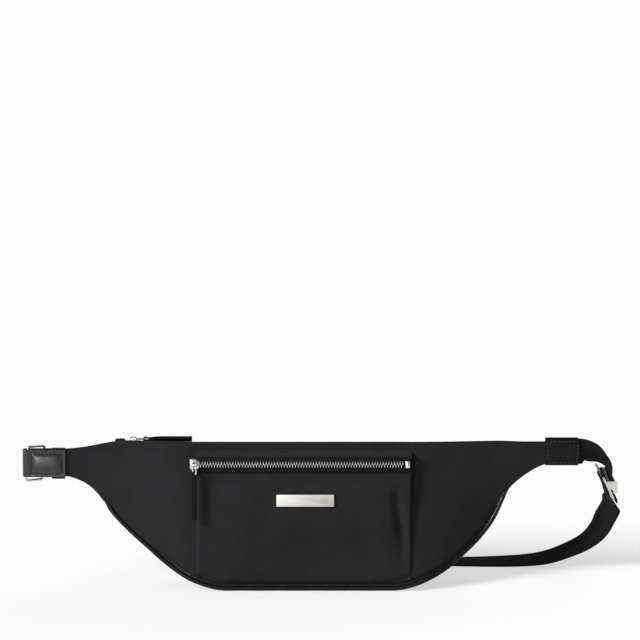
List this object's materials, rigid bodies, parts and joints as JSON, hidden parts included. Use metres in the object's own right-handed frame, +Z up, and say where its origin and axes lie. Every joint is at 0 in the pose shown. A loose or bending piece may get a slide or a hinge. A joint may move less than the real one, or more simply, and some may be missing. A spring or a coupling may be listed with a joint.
{
  "type": "belt bag",
  "caption": "Crescent-shaped nylon belt bag with a zipped top, a zipped front pocket, leather trim, a plain name plate and an adjustable webbing belt.",
  "frame": {"origin": "middle of the bag's flat base, on the surface it stands on", "axes": "+X along the belt, towards the clasp's end; the front of the bag faces -Y; +Z up"},
  "size_m": [0.54, 0.1195, 0.1342],
  "materials": {
    "nylon_shell": "matt black nylon twill with a faint sheen",
    "lining": "smooth black lining cloth",
    "zip_tape": "black woven zip tape",
    "belt_webbing": "black woven webbing",
    "leather_trim": "smooth black leather, semi-gloss",
    "leather_piping": "smooth black leather, glossy",
    "zip_teeth": "polished nickel teeth",
    "nickel_hardware": "polished nickel",
    "plate_metal": "satin nickel"
  },
  "bodies": {
    "bag": {"main_zip_tape_front": "zip_tape", "main_zip_tape_back": "zip_tape", "main_zip_teeth_front": "zip_teeth", "main_zip_teeth_back": "zip_teeth", "main_zip_cap_left": "nylon_shell", "main_zip_cap_right": "nylon_shell", "pocket_panel": "nylon_shell", "name_plate": "plate_metal", "plate_backing": "plate_metal", "pocket_tape_upper": "zip_tape", "pocket_tape_lower": "zip_tape", "pocket_teeth_upper": "zip_teeth", "pocket_teeth_lower": "zip_teeth", "pocket_zip_box": "nickel_hardware", "clasp_frame": "nickel_hardware", "clasp_pin": "nickel_hardware", "front_panel": "nylon_shell", "back_panel": "nylon_shell", "bottom_gusset": "nylon_shell", "front_piping": "leather_piping", "back_piping": "leather_piping", "lining_front": "lining", "lining_back": "lining", "inner_slip_pocket": "lining", "left_wing_strip": "nylon_shell", "right_wing_strip": "nylon_shell", "pocket_gusset_left": "nylon_shell", "pocket_gusset_right": "nylon_shell", "pocket_top_gusset": "nylon_shell", "left_tab": "leather_trim", "right_tab": "leather_trim", "belt_upper": "belt_webbing", "belt_long": "belt_webbing", "belt_keeper": "leather_trim"},
    "main_slider": {"main_slider_upper": "nickel_hardware", "main_slider_lower": "nickel_hardware"},
    "main_link": {"main_pull_link": "nickel_hardware"},
    "main_pull_strip": {"main_pull": "leather_trim"},
    "pocket_slider": {"pocket_slider_upper": "nickel_hardware", "pocket_slider_lower": "nickel_hardware"},
    "pocket_link": {"pocket_pull_link": "nickel_hardware"},
    "pocket_pull_strip": {"pocket_pull": "leather_trim"},
    "jaw": {"clasp_jaw": "nickel_hardware"},
    "ring": {"belt_ring": "nickel_hardware"}
  },
  "joints": [
    {"name": "main_zip_slide", "type": "slide", "parent": "bag", "child": "main_slider", "axis": [1, 0, 0], "range_m": [0, 0.308]},
    {"name": "main_link_swing", "type": "hinge", "parent": "main_slider", "child": "main_link", "pos_m": [-0.1527, 0.01804, 0.1311], "axis": [0, -0.9719, 0.2355], "range_deg": [0, 120]},
    {"name": "main_pull_swing", "type": "hinge", "parent": "main_link", "child": "main_pull_strip", "pos_m": [-0.1432, 0.01804, 0.1311], "axis": [0, -0.9719, 0.2355], "range_deg": [0, 55]},
    {"name": "pocket_zip_slide", "type": "slide", "parent": "bag", "child": "pocket_slider", "axis": [1, 0, 0], "range_m": [0, 0.17]},
    {"name": "pocket_link_lift", "type": "hinge", "parent": "pocket_slider", "child": "pocket_link", "pos_m": [-0.0986, -0.01772, 0.11607], "axis": [-1, 0, 0], "range_deg": [0, 25]},
    {"name": "pocket_pull_swing", "type": "hinge", "parent": "pocket_link", "child": "pocket_pull_strip", "pos_m": [-0.0986, -0.02018, 0.10867], "axis": [0.4226, -0.9024, 0.0844], "range_deg": [-20, 10]},
    {"name": "clasp_jaw_lift", "type": "hinge", "parent": "bag", "child": "jaw", "pos_m": [0.27353, 0.03149, 0.09245], "axis": [-0.2018, 0.9624, 0.1817], "range_deg": [0, 5]},
    {"name": "ring_swivel", "type": "hinge", "parent": "bag", "child": "ring", "pos_m": [-0.25, 0.017, 0.1082], "axis": [0.0652, 0.045, 0.9969], "range_deg": [-1.2, 1.2]}
  ]
}
